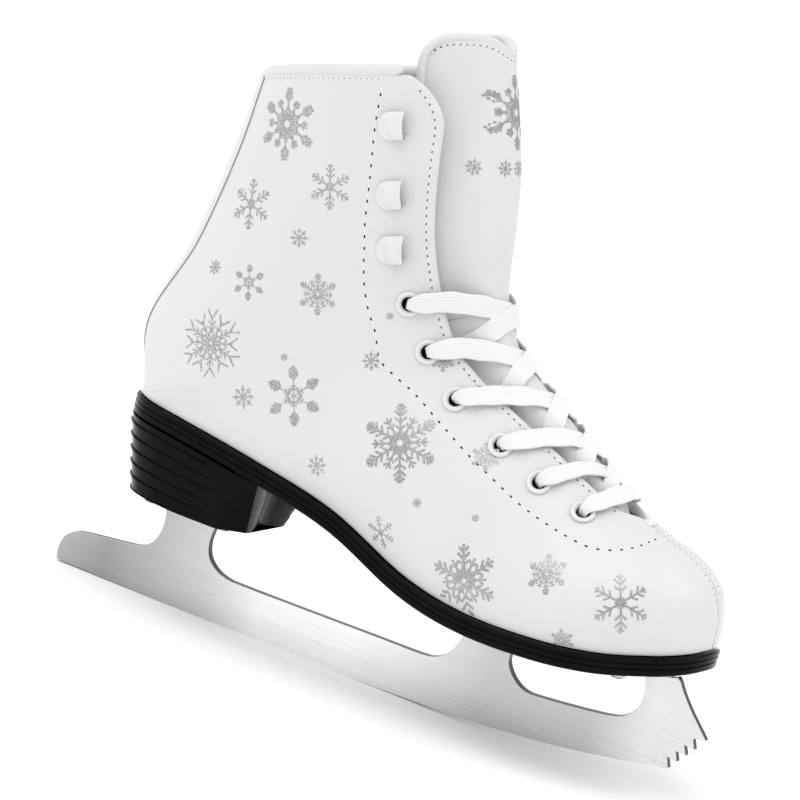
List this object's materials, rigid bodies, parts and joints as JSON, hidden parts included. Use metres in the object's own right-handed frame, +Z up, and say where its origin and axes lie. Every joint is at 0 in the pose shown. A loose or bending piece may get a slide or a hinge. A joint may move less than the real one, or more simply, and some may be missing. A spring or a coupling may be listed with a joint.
{
  "type": "figure skate",
  "caption": "Lace-up figure skate: a white leather boot with a flexing tongue, on a moulded sole and heel, with a screwed-on steel blade that has a toe pick.",
  "frame": {"origin": "on the ice, under the middle of the blade's flat stretch, in the blade's mid-plane", "axes": "+Z up, +X towards the toe, -Y on the outer side of the right foot; the blade lies in the XZ plane"},
  "size_m": [0.2916, 0.0874, 0.2649],
  "materials": {
    "white_leather": "smooth coated leather, satin",
    "lining_fabric": "brushed fleece",
    "stiffener_board": "fibreboard",
    "black_sole": "glossy moulded",
    "polished_steel": "lengthwise brushed",
    "white_enamel": "gloss enamel",
    "white_lace": "flat woven",
    "footbed_foam": "fabric-covered foam"
  },
  "bodies": {
    "skate": {"aglet_left": "white_enamel", "aglet_right": "white_enamel", "backstay": "white_leather", "blade": "polished_steel", "collar_binding": "white_leather", "eyelet_left_1": "white_enamel", "eyelet_left_2": "white_enamel", "eyelet_left_3": "white_enamel", "eyelet_left_4": "white_enamel", "eyelet_left_5": "white_enamel", "eyelet_left_6": "white_enamel", "eyelet_right_1": "white_enamel", "eyelet_right_2": "white_enamel", "eyelet_right_3": "white_enamel", "eyelet_right_4": "white_enamel", "eyelet_right_5": "white_enamel", "eyelet_right_6": "white_enamel", "eyestay_left": "stiffener_board", "eyestay_right": "stiffener_board", "footbed": "footbed_foam", "heel_block": "black_sole", "heel_counter": "stiffener_board", "heel_plate": "polished_steel", "heel_screw_1": "polished_steel", "heel_screw_2": "polished_steel", "heel_screw_3": "polished_steel", "heel_screw_4": "polished_steel", "hook_left_1": "white_enamel", "hook_left_2": "white_enamel", "hook_left_3": "white_enamel", "hook_right_1": "white_enamel", "hook_right_2": "white_enamel", "hook_right_3": "white_enamel", "insole_board": "stiffener_board", "lace": "white_lace", "lining_left": "lining_fabric", "lining_right": "lining_fabric", "outsole": "black_sole", "quarter_left": "white_leather", "quarter_right": "white_leather", "shank": "polished_steel", "sole_plate": "polished_steel", "sole_screw_1": "polished_steel", "sole_screw_2": "polished_steel", "sole_screw_3": "polished_steel", "sole_screw_4": "polished_steel", "sole_screw_5": "polished_steel", "sole_screw_6": "polished_steel", "toe_puff": "stiffener_board", "tongue_lower": "white_leather"},
    "tongue": {"tongue_upper": "white_leather", "tongue_lining": "lining_fabric", "tongue_binding": "white_leather"}
  },
  "joints": [
    {"name": "tongue_flex", "type": "hinge", "parent": "skate", "child": "tongue", "pos_m": [0.044, 0, 0.172], "axis": [0, 1, 0], "range_deg": [-15, 0]}
  ]
}
